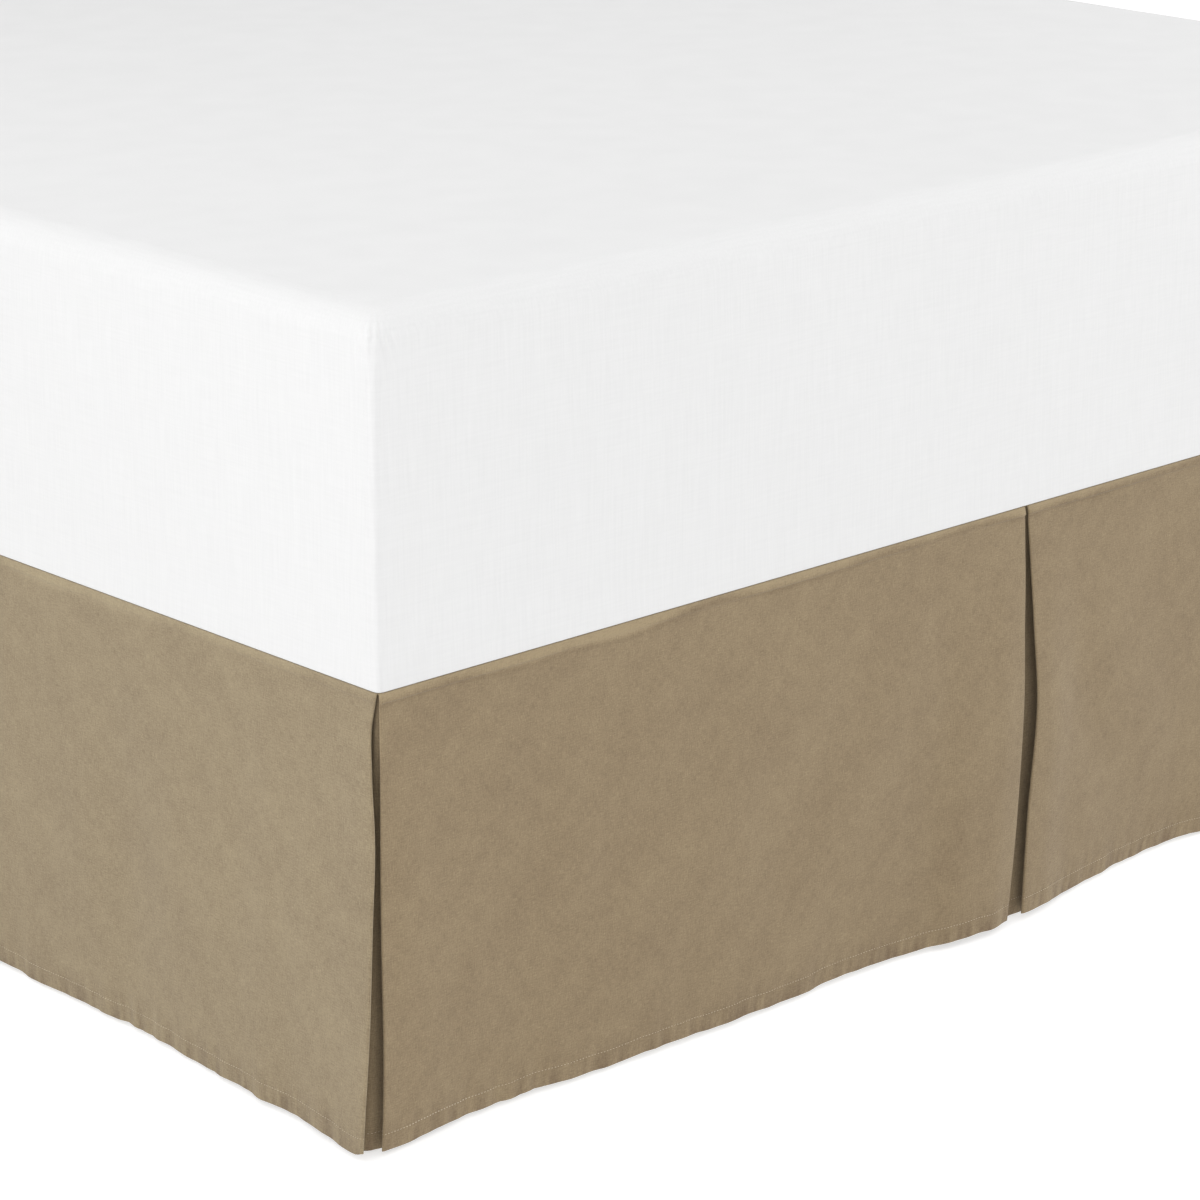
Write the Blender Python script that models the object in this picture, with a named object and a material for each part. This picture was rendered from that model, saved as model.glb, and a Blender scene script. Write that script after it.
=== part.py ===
"""A tailored bed skirt hanging round the bed that it is made for, in metres with +Z up.

The skirt has four pieces. The deck is a flat sheet that lies between the base and the mattress. Three
drops hang from its edges: one down each long side and one across the foot. Each drop has an inverted
pleat at its middle, and the foot's drop also goes round both corners, where it lies behind the ends of
the side drops and makes the corner pleats. The head end is open.

The origin is on the floor under the middle of the whole, the head is at +Y and the foot at -Y.
"""

import math
from collections import namedtuple

import bmesh
import bpy
from mathutils import Vector

INCH = 0.0254
MM = 0.001

# The bed: a queen size deck, a 15 inch drop and a 12 inch mattress.
DECK_W = 60 * INCH
DECK_L = 80 * INCH
DECK_TOP = 15 * INCH
MATTRESS_H = 12 * INCH
BASE_H = 9 * INCH
GAP = 0.3 * MM

# The foot's hem stands out this far, and the bed is moved back by half of it to stay centred.
FOOT_REACH = 46 * MM
HALF_W = DECK_W / 2
FOOT_Y = -(DECK_L - FOOT_REACH) / 2

# The cloth.
SHEET = 1.2 * MM
DROP_TOP = DECK_TOP - SHEET - GAP
HEM_Z = 4 * MM
DROP = DROP_TOP - HEM_Z
PLEAT_DEPTH = 90 * MM
LAP = 12 * MM
RETURN_TOP = 2.0 * MM
RETURN_HEM = 3.0 * MM
CORNER_R_TOP = 4 * MM
CORNER_R_HEM = 10 * MM

# How the drops are divided: shares of the drop from its top edge to its hem, columns along a panel,
# and steps round a folded edge and round a corner.
ROWS = (0, 0.07, 0.17, 0.3, 0.45, 0.62, 0.8, 0.92, 1)
COLUMN = 54 * MM
TURN_STEPS = 3
CORNER_STEPS = 3

# The mattress, the base under the deck and its legs. The mattress narrows a little towards its top.
MATTRESS_INSET = 1 * MM
MATTRESS_LEAN = 4 * MM
MATTRESS_CORNER = 8 * MM
MATTRESS_TOP_EDGE = 28 * MM
MATTRESS_LOW_EDGE = 3 * MM
BASE_INSET = 12 * MM
BASE_CORNER = 14 * MM
ROUNDER = 0.6  # a block's corners grow rounder by this share of what its outline steps in
BASE_EDGE = 5 * MM
DECK_CORNER = 2 * MM
ARC_STEPS = 4
LEG_R_TOP = 30 * MM
LEG_R_FLOOR = 22 * MM
LEG_IN_X = 0.14
LEG_IN_Y = 0.16
LEG_SIDES = 20

# How far the hem of the front cloth stands out from the deck's edge, in mm: along the edge from its
# foot corner (from the left corner on the foot), out. Negative places are past the corner.
HEM_OUT = {
    "left": (
        (-20, 44), (0, 42), (40, 36), (85, 31), (125, 31), (160, 27), (220, 23), (290, 18),
        (400, 17), (510, 17), (610, 22), (740, 14), (880, 18), (960, 27), (1016, 29), (1070, 26),
        (1180, 14), (1330, 19), (1500, 13), (1660, 20), (1830, 13), (1960, 18), (2032, 15),
    ),
    "foot": (
        (-20, 22), (20, 21), (60, 17), (130, 16), (190, 21), (280, 26), (370, 29), (500, 26),
        (560, 27), (605, 31), (640, 41), (680, 45), (712, 40), (735, 40), (760, 38), (800, 28),
        (850, 20), (910, 11), (950, 8), (1010, 10), (1100, 18), (1210, 14), (1330, 21),
        (1430, 17), (1500, 24), (1545, 28),
    ),
    "right": (
        (-20, 44), (0, 41), (50, 33), (110, 26), (180, 28), (270, 19), (380, 14), (500, 20),
        (630, 15), (760, 20), (880, 16), (960, 24), (1016, 28), (1075, 27), (1190, 16),
        (1310, 13), (1450, 20), (1600, 14), (1740, 19), (1880, 13), (2032, 17),
    ),
}
FALL = 1.15  # the flare grows with this power of the share of the drop

# Soft folds between the top edge and the hem. Along the edge at the fold's start and at its end, its
# half width and its height are in mm, out being positive; start and end are shares of the drop.
Fold = namedtuple("Fold", "edge along_start along_end width height start end")
FOLDS = (
    Fold("left", 5, 5, 30, 1.6, 0.02, 0.4),
    Fold("left", 95, 60, 34, 1.2, 0.1, 1),
    Fold("left", 190, 150, 36, -1.4, 0.1, 1),
    Fold("left", 265, 250, 34, 1.6, 0.05, 0.95),
    Fold("left", 330, 320, 30, -1.6, 0.15, 1),
    Fold("left", 420, 380, 40, 1.4, 0.1, 1),
    Fold("left", 640, 700, 60, 2.6, 0.1, 1),
    Fold("left", 1250, 1190, 60, -2.6, 0.1, 1),
    Fold("left", 1560, 1600, 70, 2.6, 0.05, 1),
    Fold("left", 1850, 1800, 60, -2.2, 0.1, 1),
    Fold("foot", 0, -12, 16, -2.0, 0, 1),
    Fold("foot", 360, 150, 40, -1.5, 0.15, 0.9),
    Fold("foot", 470, 260, 44, 1.7, 0.1, 0.95),
    Fold("foot", 560, 380, 40, -1.7, 0.1, 1),
    Fold("foot", 640, 470, 38, 1.6, 0.05, 0.95),
    Fold("foot", 700, 610, 34, -1.8, 0.02, 0.95),
    Fold("foot", 742, 712, 20, 1.6, 0.02, 0.9),
    Fold("foot", 800, 775, 26, 1.9, 0.1, 1),
    Fold("foot", 790, 905, 34, -2.8, 0.15, 1),
    Fold("foot", 860, 985, 40, 2.5, 0.15, 1),
    Fold("foot", 1180, 1240, 60, -2.6, 0.1, 1),
    Fold("foot", 1380, 1330, 50, 2.6, 0.1, 1),
    Fold("foot", 1524, 1534, 16, -2.0, 0, 1),
    Fold("right", 5, 5, 30, 1.6, 0.02, 0.4),
    Fold("right", 150, 120, 40, -2.2, 0.1, 1),
    Fold("right", 330, 380, 50, 2.6, 0.05, 1),
    Fold("right", 700, 640, 55, -2.6, 0.1, 1),
    Fold("right", 1260, 1330, 60, 2.6, 0.1, 1),
    Fold("right", 1690, 1640, 60, -2.6, 0.1, 1),
)

# Where the folded edges of the pleats run, in mm along the edge from the pleat's own place, at these
# shares of the drop. `before` is the folded edge nearer the edge's start, `after` the one beyond it.
EDGE_SHARES = (0, 0.08, 0.17, 0.3, 0.5, 0.75, 1)
FOLDED_EDGES = {
    "left corner, side": (3.7, 7.5, 2.6, -5.1, -9.9, -17.4, -21.8),
    "left corner, foot": (2.3, 1.3, -0.1, -2.8, -6.5, -11.8, -20.8),
    "right corner, side": (3.6, 6, 2.5, -3.5, -9, -14, -18),
    "right corner, foot": (-2, -1.2, 0.4, 3.5, 8, 12.5, 17),
    "foot, before": (0.9, 0, -1.6, -6.5, -13.2, -29.8, -52.1),
    "foot, after": (5.4, 6.7, 7.4, 7.8, 5.7, -13.4, -31),
    "left, before": (-1.5, -2, -3, -4.5, -6.5, -8, -8),
    "left, after": (2.5, 3.5, 4, 4.5, 6, 9, 12),
    "right, before": (-1.5, -2.2, -3.2, -5, -8, -11.5, -14),
    "right, after": (2.5, 3.2, 3.6, 4, 4.5, 6, 8),
}

# How far the pleats' underlay lies behind the front cloth, in mm, at the same shares of the drop.
UNDER_DEPTHS = (4, 7, 10, 12.5, 13.5, 12.5, 11)

# Columns between a folded edge and the inner fold, as shares of the pleat's depth, on the way to the
# folded edge and away from it; and those of the lapped seam.
NEARING = (0.67, 0.33)
LEAVING = (0.33, 0.67)
LAP_SHARES = (1, 1 - LAP / PLEAT_DEPTH)

# The layers of a pleat, from the front, and the end of a side drop where it is lapped onto the foot's.
FRONT, RETURN, UNDER, LAPPED = range(4)

Edge = namedtuple("Edge", "corner run facing length")
EDGES = {
    "left": Edge(Vector((-HALF_W, FOOT_Y)), Vector((0, 1)), Vector((-1, 0)), DECK_L),
    "foot": Edge(Vector((-HALF_W, FOOT_Y)), Vector((1, 0)), Vector((0, -1)), DECK_W),
    "right": Edge(Vector((HALF_W, FOOT_Y)), Vector((0, 1)), Vector((1, 0)), DECK_L),
}


def blend(low, high, share):
    return low + (high - low) * share


def smooth(xs, ys, x):
    """The value at x of a smooth curve through a table's points."""
    last = len(xs) - 1
    if x <= xs[0]:
        return ys[0]
    if x >= xs[last]:
        return ys[last]
    k = next(i for i in range(last) if x < xs[i + 1])

    def slope(i):
        before, after = max(i - 1, 0), min(i + 1, last)
        return (ys[after] - ys[before]) / (xs[after] - xs[before])

    span = xs[k + 1] - xs[k]
    u = (x - xs[k]) / span
    rise = ys[k + 1] - ys[k]
    start, end = slope(k) * span, slope(k + 1) * span
    return ys[k] + u * (start + u * (3 * rise - 2 * start - end + u * (start + end - 2 * rise)))


def hem_out(edge, along):
    xs, ys = zip(*HEM_OUT[edge])
    return smooth(xs, ys, along / MM) * MM


def fold_height(fold, along, share):
    """How far a soft fold lifts the cloth here."""
    if not fold.start < share < fold.end:
        return 0
    u = (share - fold.start) / (fold.end - fold.start)
    middle = blend(fold.along_start, fold.along_end, u)
    across = (along / MM - middle) / fold.width
    return fold.height * MM * math.sin(math.pi * u) ** 2 * math.exp(-across * across)


def front_out(edge, along_at_hem, along, share):
    """How far the front cloth's outer face stands out from the deck's edge."""
    folds = sum(fold_height(f, along, share) for f in FOLDS if f.edge == edge)
    return hem_out(edge, along_at_hem) * share**FALL + folds


def layer_depth(layer, share):
    """How far a layer lies behind the front one."""
    if layer == FRONT:
        return 0
    if layer == RETURN:
        return blend(RETURN_TOP, RETURN_HEM, share)
    under = smooth(EDGE_SHARES, UNDER_DEPTHS, share) * MM
    return under if layer == UNDER else under - SHEET - GAP


def height(hang, share):
    """The height of a share of the drop whose hem stands out by `hang`: the cloth doesn't stretch."""
    return DROP_TOP - share * math.sqrt(DROP**2 - hang**2)


def hung(edge, along, depth):
    """One column of cloth, as a function of the share of the drop. So are `along`, its place along the
    edge, and `depth`, how far it lies behind the front."""

    def at(share):
        side = EDGES[edge]
        out = front_out(edge, along(1), along(share), share) - SHEET / 2 - depth(share)
        x, y = side.corner + side.run * along(share) + side.facing * out
        return Vector((x, y, height(hem_out(edge, along(1)) - depth(1), share)))

    return at


def column(edge, along, layer):
    return hung(edge, along, lambda share: layer_depth(layer, share))


def turn(edge, tip, heading, near, far):
    """The columns round a folded edge, from layer `near` to layer `far`. It points along the edge
    (heading 1) or back (-1), and reaches `tip`."""

    def radius(share):
        return abs(layer_depth(far, share) - layer_depth(near, share)) / 2

    def step(angle):
        def along(share):
            return tip(share) - heading * radius(share) * (1 - math.sin(angle))

        def depth(share):
            middle = (layer_depth(far, share) + layer_depth(near, share)) / 2
            return middle - math.copysign(radius(share), far - near) * math.cos(angle)

        return hung(edge, along, depth)

    return [step(math.pi * k / TURN_STEPS) for k in range(TURN_STEPS + 1)]


def folded_edge(name, place):
    """Where a pleat's folded edge runs, as a function of the share of the drop."""
    return lambda share: place + smooth(EDGE_SHARES, FOLDED_EDGES[name], share) * MM


def moved(along, distance):
    return lambda share: along(share) + distance


def flank(edge, tip, heading, layer, shares):
    """Columns of one layer beside a folded edge, at shares of the pleat's depth back from its tip."""
    return [column(edge, moved(tip, -heading * PLEAT_DEPTH * s), layer) for s in shares]


def panel(edge, start, end):
    """The columns of a front panel between the flanks of its two pleats."""
    count = round((end(0) - start(0)) / COLUMN)

    def step(k):
        return column(edge, lambda share: blend(start(share), end(share), k / count), FRONT)

    return [step(k) for k in range(1, count)]


def middle_pleat(edge):
    """An inverted pleat at the middle of an edge: front, return, underlay, return, front."""
    place = EDGES[edge].length / 2
    before = folded_edge(f"{edge}, before", place)
    after = folded_edge(f"{edge}, after", place)
    inner_before = moved(before, -PLEAT_DEPTH)
    inner_after = moved(after, PLEAT_DEPTH)

    def centre(share):
        return (before(share) + after(share)) / 2

    return [
        *flank(edge, before, 1, FRONT, (1, *NEARING)),
        *turn(edge, before, 1, FRONT, RETURN),
        *flank(edge, before, 1, RETURN, LEAVING),
        *turn(edge, inner_before, -1, RETURN, UNDER),
        *flank(edge, before, 1, UNDER, NEARING),
        column(edge, centre, UNDER),
        *flank(edge, after, -1, UNDER, LEAVING),
        *turn(edge, inner_after, 1, UNDER, RETURN),
        *flank(edge, after, -1, RETURN, NEARING),
        *turn(edge, after, -1, RETURN, FRONT),
        *flank(edge, after, -1, FRONT, (*LEAVING, 1)),
    ]


def corner_bend(side_name):
    """The underlay going round a corner of the bed, from the side to the foot."""
    side, foot = EDGES[side_name], EDGES["foot"]
    corner_along = 0 if side_name == "left" else DECK_W
    hang = (hem_out(side_name, 0) + hem_out("foot", corner_along)) / 2 - layer_depth(UNDER, 1)

    def step(angle):
        def at(share):
            radius = blend(CORNER_R_TOP, CORNER_R_HEM, share)
            behind = SHEET / 2 + layer_depth(UNDER, share) + radius
            out_side = front_out(side_name, 0, 0, share) - behind + radius * math.cos(angle)
            out_foot = front_out("foot", corner_along, corner_along, share) - behind
            out_foot += radius * math.sin(angle)
            x, y = side.corner + side.facing * out_side + foot.facing * out_foot
            return Vector((x, y, height(hang, share)))

        return at

    return [step(math.pi / 2 * k / CORNER_STEPS) for k in range(CORNER_STEPS + 1)]


def corner_end(side_name):
    """The foot drop's end round a corner, from its lapped edge behind the side drop to its front."""
    side_tip = folded_edge(f"{side_name} corner, side", 0)
    place, heading = (0, -1) if side_name == "left" else (DECK_W, 1)
    tip = folded_edge(f"{side_name} corner, foot", place)
    inner = moved(tip, -heading * PLEAT_DEPTH)
    return [
        *flank(side_name, side_tip, -1, UNDER, (*LAP_SHARES, *NEARING)),
        *corner_bend(side_name),
        *flank("foot", tip, heading, UNDER, LEAVING),
        *turn("foot", inner, -heading, UNDER, RETURN),
        *flank("foot", tip, heading, RETURN, NEARING),
        *turn("foot", tip, heading, RETURN, FRONT),
        *flank("foot", tip, heading, FRONT, (*LEAVING, 1)),
    ]


def foot_columns():
    left_tip = folded_edge("left corner, foot", 0)
    right_tip = folded_edge("right corner, foot", DECK_W)
    before = folded_edge("foot, before", DECK_W / 2)
    after = folded_edge("foot, after", DECK_W / 2)
    return [
        *corner_end("left"),
        *panel("foot", moved(left_tip, PLEAT_DEPTH), moved(before, -PLEAT_DEPTH)),
        *middle_pleat("foot"),
        *panel("foot", moved(after, PLEAT_DEPTH), moved(right_tip, -PLEAT_DEPTH)),
        *reversed(corner_end("right")),
    ]


def side_columns(edge):
    """A side drop, from the end that is lapped behind its corner to its end at the head."""
    tip = folded_edge(f"{edge} corner, side", 0)
    before = folded_edge(f"{edge}, before", DECK_L / 2)
    after = folded_edge(f"{edge}, after", DECK_L / 2)

    def head(share):
        return DECK_L

    return [
        *flank(edge, tip, -1, LAPPED, LAP_SHARES),
        *flank(edge, tip, -1, RETURN, NEARING),
        *turn(edge, tip, -1, RETURN, FRONT),
        *flank(edge, tip, -1, FRONT, (*LEAVING, 1)),
        *panel(edge, moved(tip, PLEAT_DEPTH), moved(before, -PLEAT_DEPTH)),
        *middle_pleat(edge),
        *panel(edge, moved(after, PLEAT_DEPTH), head),
        column(edge, head, FRONT),
    ]


def faces_of_line(points):
    """The two faces of the cloth along one row, as lists of points half a thickness to each side."""
    sides = ([], [])
    for k, here in enumerate(points):
        before = points[max(k - 1, 0)]
        after = points[min(k + 1, len(points) - 1)]
        arriving = (here - before).xy.normalized() if k else (after - here).xy.normalized()
        leaving = (after - here).xy.normalized() if k < len(points) - 1 else arriving
        along = (arriving + leaving).normalized()
        reach = SHEET / 2 / along.dot(arriving)
        across = Vector((along.y, -along.x, 0)) * reach
        sides[0].append(here + across)
        sides[1].append(here - across)
    return sides


def closed_mesh(name, points, faces):
    """A mesh from points and faces, with its faces turned outward."""
    mesh = bpy.data.meshes.new(name)
    mesh.from_pydata(points, [], faces)
    work = bmesh.new()
    work.from_mesh(mesh)
    bmesh.ops.recalc_face_normals(work, faces=work.faces)
    work.to_mesh(mesh)
    work.free()
    return mesh


def material(name, color, roughness):
    made = bpy.data.materials.new(name)
    made.use_nodes = True
    shader = made.node_tree.nodes["Principled BSDF"]
    shader.inputs["Base Color"].default_value = (*color, 1)
    shader.inputs["Roughness"].default_value = roughness
    return made


def add(name, mesh, finish):
    mesh.materials.append(finish)
    made = bpy.data.objects.new(name, mesh)
    bpy.context.scene.collection.objects.link(made)
    return made


def split(points, a, b, c, d):
    """Two triangles for the face a, b, c, d, whose row a, b runs one way or the other. Layers that lie
    on each other are split alike, so that they stay as far apart between their columns."""
    step = points[b] - points[a]
    if step.x + step.y > 0:
        return [(a, b, c), (a, c, d)]
    return [(a, b, d), (b, c, d)]


def drop(name, columns, finish):
    """A drop's solid: each row is one back-and-forth line of cloth with its thickness."""
    rows = [faces_of_line([at(share) for at in columns]) for share in ROWS]
    points = [p for row in rows for side in row for p in side]
    width, last_row = len(columns), len(ROWS) - 1

    def index(row, side, k):
        return (2 * row + side) * width + k

    faces = []
    for row in range(last_row):
        for side in (0, 1):
            for k in range(width - 1):
                upper = index(row, side, k), index(row, side, k + 1)
                lower = index(row + 1, side, k + 1), index(row + 1, side, k)
                faces += split(points, *upper, *lower)
        for k in (0, width - 1):
            ends = index(row, 0, k), index(row, 1, k), index(row + 1, 1, k), index(row + 1, 0, k)
            faces.append(ends)
    for row in (0, last_row):
        for k in range(width - 1):
            rim = index(row, 0, k), index(row, 0, k + 1), index(row, 1, k + 1), index(row, 1, k)
            faces.append(rim)
    mesh = closed_mesh(name, points, faces)
    mesh.shade_smooth()
    mesh.set_sharp_from_angle(angle=math.radians(50))
    return add(name, mesh, finish)


def rounded_outline(half_w, half_l, radius):
    """A rectangle with round corners, about the deck's middle."""
    middle = Vector((0, FOOT_Y + DECK_L / 2))
    points = []
    for quarter, (sx, sy) in enumerate(((1, 1), (-1, 1), (-1, -1), (1, -1))):
        centre = middle + Vector((sx * (half_w - radius), sy * (half_l - radius)))
        for k in range(ARC_STEPS + 1):
            angle = math.pi / 2 * (quarter + k / ARC_STEPS)
            points.append(centre + radius * Vector((math.cos(angle), math.sin(angle))))
    return points


Block = namedtuple("Block", "inset lean low high corner")


def block_levels(low, high, low_edge, top_edge):
    """Heights up a block, each with how far its outline steps in there. Its edges are round, or sharp
    where they have no size."""
    if not low_edge and not top_edge:
        return [(low, 0), (high, 0)]
    angles = [math.pi / 2 * k / ARC_STEPS for k in range(ARC_STEPS + 1)]
    lower = [(low + low_edge * (1 - math.cos(a)), low_edge * (1 - math.sin(a))) for a in angles]
    upper = [(high - top_edge * (1 - math.sin(a)), top_edge * (1 - math.cos(a))) for a in angles]
    return lower + upper


def block(name, size, low_edge, top_edge, finish):
    """A block on the deck's plan, set in from its edges and leaning in towards its top, with round
    corners and round edges."""
    levels = block_levels(size.low, size.high, low_edge, top_edge)
    points = []
    for z, step_in in levels:
        inset = size.inset + size.lean * (z - size.low) / (size.high - size.low) + step_in
        half_w, half_l = HALF_W - inset, DECK_L / 2 - inset
        outline = rounded_outline(half_w, half_l, size.corner + ROUNDER * step_in)
        points += [(*p, z) for p in outline]
    ring = len(points) // len(levels)
    quads = []
    for level in range(len(levels) - 1):
        for k in range(ring):
            this, after = level * ring + k, level * ring + (k + 1) % ring
            quads.append((this, after, after + ring, this + ring))
    caps = [tuple(range(ring)), tuple(range(len(points) - ring, len(points)))]
    mesh = closed_mesh(name, points, quads + caps)
    mesh.shade_smooth()
    mesh.set_sharp_from_angle(angle=math.radians(40))
    return add(name, mesh, finish)


def leg(name, x, y, top, finish):
    """A round leg, wider at its top, standing on the floor."""
    mesh = bpy.data.meshes.new(name)
    work = bmesh.new()
    bmesh.ops.create_cone(
        work, cap_ends=True, segments=LEG_SIDES, radius1=LEG_R_FLOOR, radius2=LEG_R_TOP, depth=top
    )
    work.to_mesh(mesh)
    work.free()
    mesh.shade_smooth()
    mesh.set_sharp_from_angle(angle=math.radians(50))
    made = add(name, mesh, finish)
    made.location = (x, y, top / 2)
    return made


def build():
    for old in list(bpy.data.objects):
        bpy.data.objects.remove(old)
    cloth = material("skirt_cloth", (0.33, 0.27, 0.18), 0.9)
    deck_cloth = material("deck_cloth", (0.78, 0.76, 0.7), 0.9)
    cover = material("mattress_cover", (0.9, 0.9, 0.9), 0.8)
    ticking = material("base_cloth", (0.78, 0.77, 0.74), 0.85)
    wood = material("leg_wood", (0.2, 0.13, 0.08), 0.5)

    drop("skirt_side_left", side_columns("left"), cloth)
    drop("skirt_foot", foot_columns(), cloth)
    drop("skirt_side_right", side_columns("right"), cloth)
    block("skirt_deck", Block(0, 0, DECK_TOP - SHEET, DECK_TOP, DECK_CORNER), 0, 0, deck_cloth)
    low, high = DECK_TOP + GAP, DECK_TOP + GAP + MATTRESS_H
    mattress = Block(MATTRESS_INSET, MATTRESS_LEAN, low, high, MATTRESS_CORNER)
    block("mattress", mattress, MATTRESS_LOW_EDGE, MATTRESS_TOP_EDGE, cover)
    base_low = DROP_TOP - BASE_H
    base = Block(BASE_INSET, 0, base_low, DROP_TOP, BASE_CORNER)
    block("bed_base", base, BASE_EDGE, BASE_EDGE, ticking)
    places = [
        (sx * (HALF_W - LEG_IN_X), FOOT_Y + along)
        for along in (LEG_IN_Y, DECK_L / 2, DECK_L - LEG_IN_Y)
        for sx in (-1, 1)
    ]
    for number, (x, y) in enumerate(places, 1):
        leg(f"base_leg_{number}", x, y, base_low - GAP, wood)


build()
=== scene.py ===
"""The looks of a tailored bed skirt on its bed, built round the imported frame, in metres with +Z up.

Each drop of the skirt is one thin sheet of cloth. It follows the same edges, pleats and folds as its
solid, with finer columns and rows, and adds the seam at its top, the hem, the stitches and the weave.
"""

import math
from collections import namedtuple

import bmesh
import bpy
import numpy as np
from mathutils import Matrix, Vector


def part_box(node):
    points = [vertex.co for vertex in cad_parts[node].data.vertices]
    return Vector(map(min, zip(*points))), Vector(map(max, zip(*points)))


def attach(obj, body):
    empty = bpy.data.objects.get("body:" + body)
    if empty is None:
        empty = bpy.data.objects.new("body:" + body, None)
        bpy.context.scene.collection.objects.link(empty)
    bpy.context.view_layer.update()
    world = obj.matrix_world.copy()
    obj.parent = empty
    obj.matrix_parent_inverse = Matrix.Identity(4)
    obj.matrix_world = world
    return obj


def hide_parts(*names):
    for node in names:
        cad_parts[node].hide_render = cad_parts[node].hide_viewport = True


MM = 0.001
TINY = 1e-9  # stands in for 0 where something is divided by it
SHARP_ANGLE = math.radians(50)  # faces that meet at a larger angle have a sharp edge

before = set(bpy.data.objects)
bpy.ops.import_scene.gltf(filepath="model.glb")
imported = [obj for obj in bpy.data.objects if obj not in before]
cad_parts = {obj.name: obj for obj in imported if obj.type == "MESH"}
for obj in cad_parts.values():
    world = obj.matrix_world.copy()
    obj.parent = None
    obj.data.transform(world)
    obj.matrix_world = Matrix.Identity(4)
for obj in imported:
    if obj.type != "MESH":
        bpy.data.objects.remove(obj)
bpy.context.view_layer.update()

# The bed, as the frame has it.
deck_low, deck_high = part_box("skirt_deck")
HALF_W = deck_high.x
FOOT_Y = deck_low.y
DECK_W = deck_high.x - deck_low.x
DECK_L = deck_high.y - deck_low.y
DROP_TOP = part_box("skirt_foot")[1].z

# The cloth. The hem is turned twice, so it adds two layers behind the front one, with a short step.
CLOTH = 0.45 * MM
HEM_Z = 4 * MM
DROP = DROP_TOP - HEM_Z
HEM = 14 * MM
HEM_LAYERS = 2 * CLOTH
HEM_STEP = 0.6 * MM
SIDE_HEM = 12 * MM

# The pleats. The side drops' ends are lapped onto the foot's. A pleat's return lies this far behind the
# front at the top and at the hem, and its underlay bends round a corner with these radii.
PLEAT_DEPTH = 90 * MM
LAP = 12 * MM
LAP_RUN = 24 * MM
LAP_GAP = 0.1 * MM
RETURN_TOP = 2 * MM
RETURN_HEM = 3 * MM
CORNER_R_TOP = 4 * MM
CORNER_R_HEM = 10 * MM

# The drop's top edge rolls in over the deck's edge, its layers nested. The seam allowance behind it
# makes a soft ridge, which grows down to RIDGE_AT and ends at RIDGE_END. Its height sways along the seam:
# the mm that a radian takes, where the sway starts in radians, and its share.
ROLL = 1.2 * MM
ROLL_NEST = 0.24
RIDGES = {"left": 0.7 * MM, "foot": 1.8 * MM, "right": 1.2 * MM}
RIDGE_AT = 5 * MM
RIDGE_END = 7.5 * MM
RIDGE_MEAN = 0.8
RIDGE_SWAYS = ((61, 0, 0.4), (23, 1, 0.3))

# Distances between the columns along the cloth, and steps round a folded edge and round a corner.
COLUMN = 5.2 * MM
TURN_CLEAR = 7.5 * MM
TURN_STEPS = 8
CORNER_STEPS = 8

# How far the hem of the front cloth stands out from the deck's edge, in mm: along the edge from its
# foot corner (from the left corner on the foot), out. Negative places are past the corner.
HEM_OUT = {
    "left": (
        (-20, 44), (0, 42), (40, 36), (85, 31), (125, 31), (160, 27), (220, 23), (290, 18),
        (400, 17), (510, 17), (610, 22), (740, 14), (880, 18), (960, 27), (1016, 29), (1070, 26),
        (1180, 14), (1330, 19), (1500, 13), (1660, 20), (1830, 13), (1960, 18), (2032, 15),
    ),
    "foot": (
        (-20, 22), (20, 21), (60, 17), (130, 16), (190, 21), (280, 26), (370, 29), (500, 26),
        (560, 27), (605, 31), (640, 41), (680, 45), (712, 40), (735, 40), (760, 38), (800, 28),
        (850, 20), (910, 11), (950, 8), (1010, 10), (1100, 18), (1210, 14), (1330, 21),
        (1430, 17), (1500, 24), (1545, 28),
    ),
    "right": (
        (-20, 44), (0, 41), (50, 33), (110, 26), (180, 28), (270, 19), (380, 14), (500, 20),
        (630, 15), (760, 20), (880, 16), (960, 24), (1016, 28), (1075, 27), (1190, 16),
        (1310, 13), (1450, 20), (1600, 14), (1740, 19), (1880, 13), (2032, 17),
    ),
}
FALL = 1.15  # the flare grows with this power of the share of the drop

# Soft folds between the top edge and the hem. Along the edge at the fold's start and at its end, its
# half width and its height are in mm, out being positive; start and end are shares of the drop.
Fold = namedtuple("Fold", "along_start along_end width height start end")
FOLDS = {
    "left": (
        (5, 5, 30, 1.6, 0.02, 0.4), (95, 60, 34, 1.2, 0.1, 1), (190, 150, 36, -1.4, 0.1, 1),
        (265, 250, 34, 1.6, 0.05, 0.95), (330, 320, 30, -1.6, 0.15, 1), (420, 380, 40, 1.4, 0.1, 1),
        (640, 700, 60, 2.6, 0.1, 1), (1250, 1190, 60, -2.6, 0.1, 1), (1560, 1600, 70, 2.6, 0.05, 1),
        (1850, 1800, 60, -2.2, 0.1, 1),
    ),
    "foot": (
        (0, -12, 16, -2.0, 0, 1), (360, 150, 40, -1.5, 0.15, 0.9), (470, 260, 44, 1.7, 0.1, 0.95),
        (560, 380, 40, -1.7, 0.1, 1), (640, 470, 38, 1.6, 0.05, 0.95),
        (700, 610, 34, -1.8, 0.02, 0.95), (742, 712, 20, 1.6, 0.02, 0.9), (800, 775, 26, 1.9, 0.1, 1),
        (790, 905, 34, -2.8, 0.15, 1), (860, 985, 40, 2.5, 0.15, 1), (1180, 1240, 60, -2.6, 0.1, 1),
        (1380, 1330, 50, 2.6, 0.1, 1), (1524, 1534, 16, -2.0, 0, 1),
    ),
    "right": (
        (5, 5, 30, 1.6, 0.02, 0.4), (150, 120, 40, -2.2, 0.1, 1), (330, 380, 50, 2.6, 0.05, 1),
        (700, 640, 55, -2.6, 0.1, 1), (1260, 1330, 60, 2.6, 0.1, 1), (1690, 1640, 60, -2.6, 0.1, 1),
    ),
}

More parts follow.
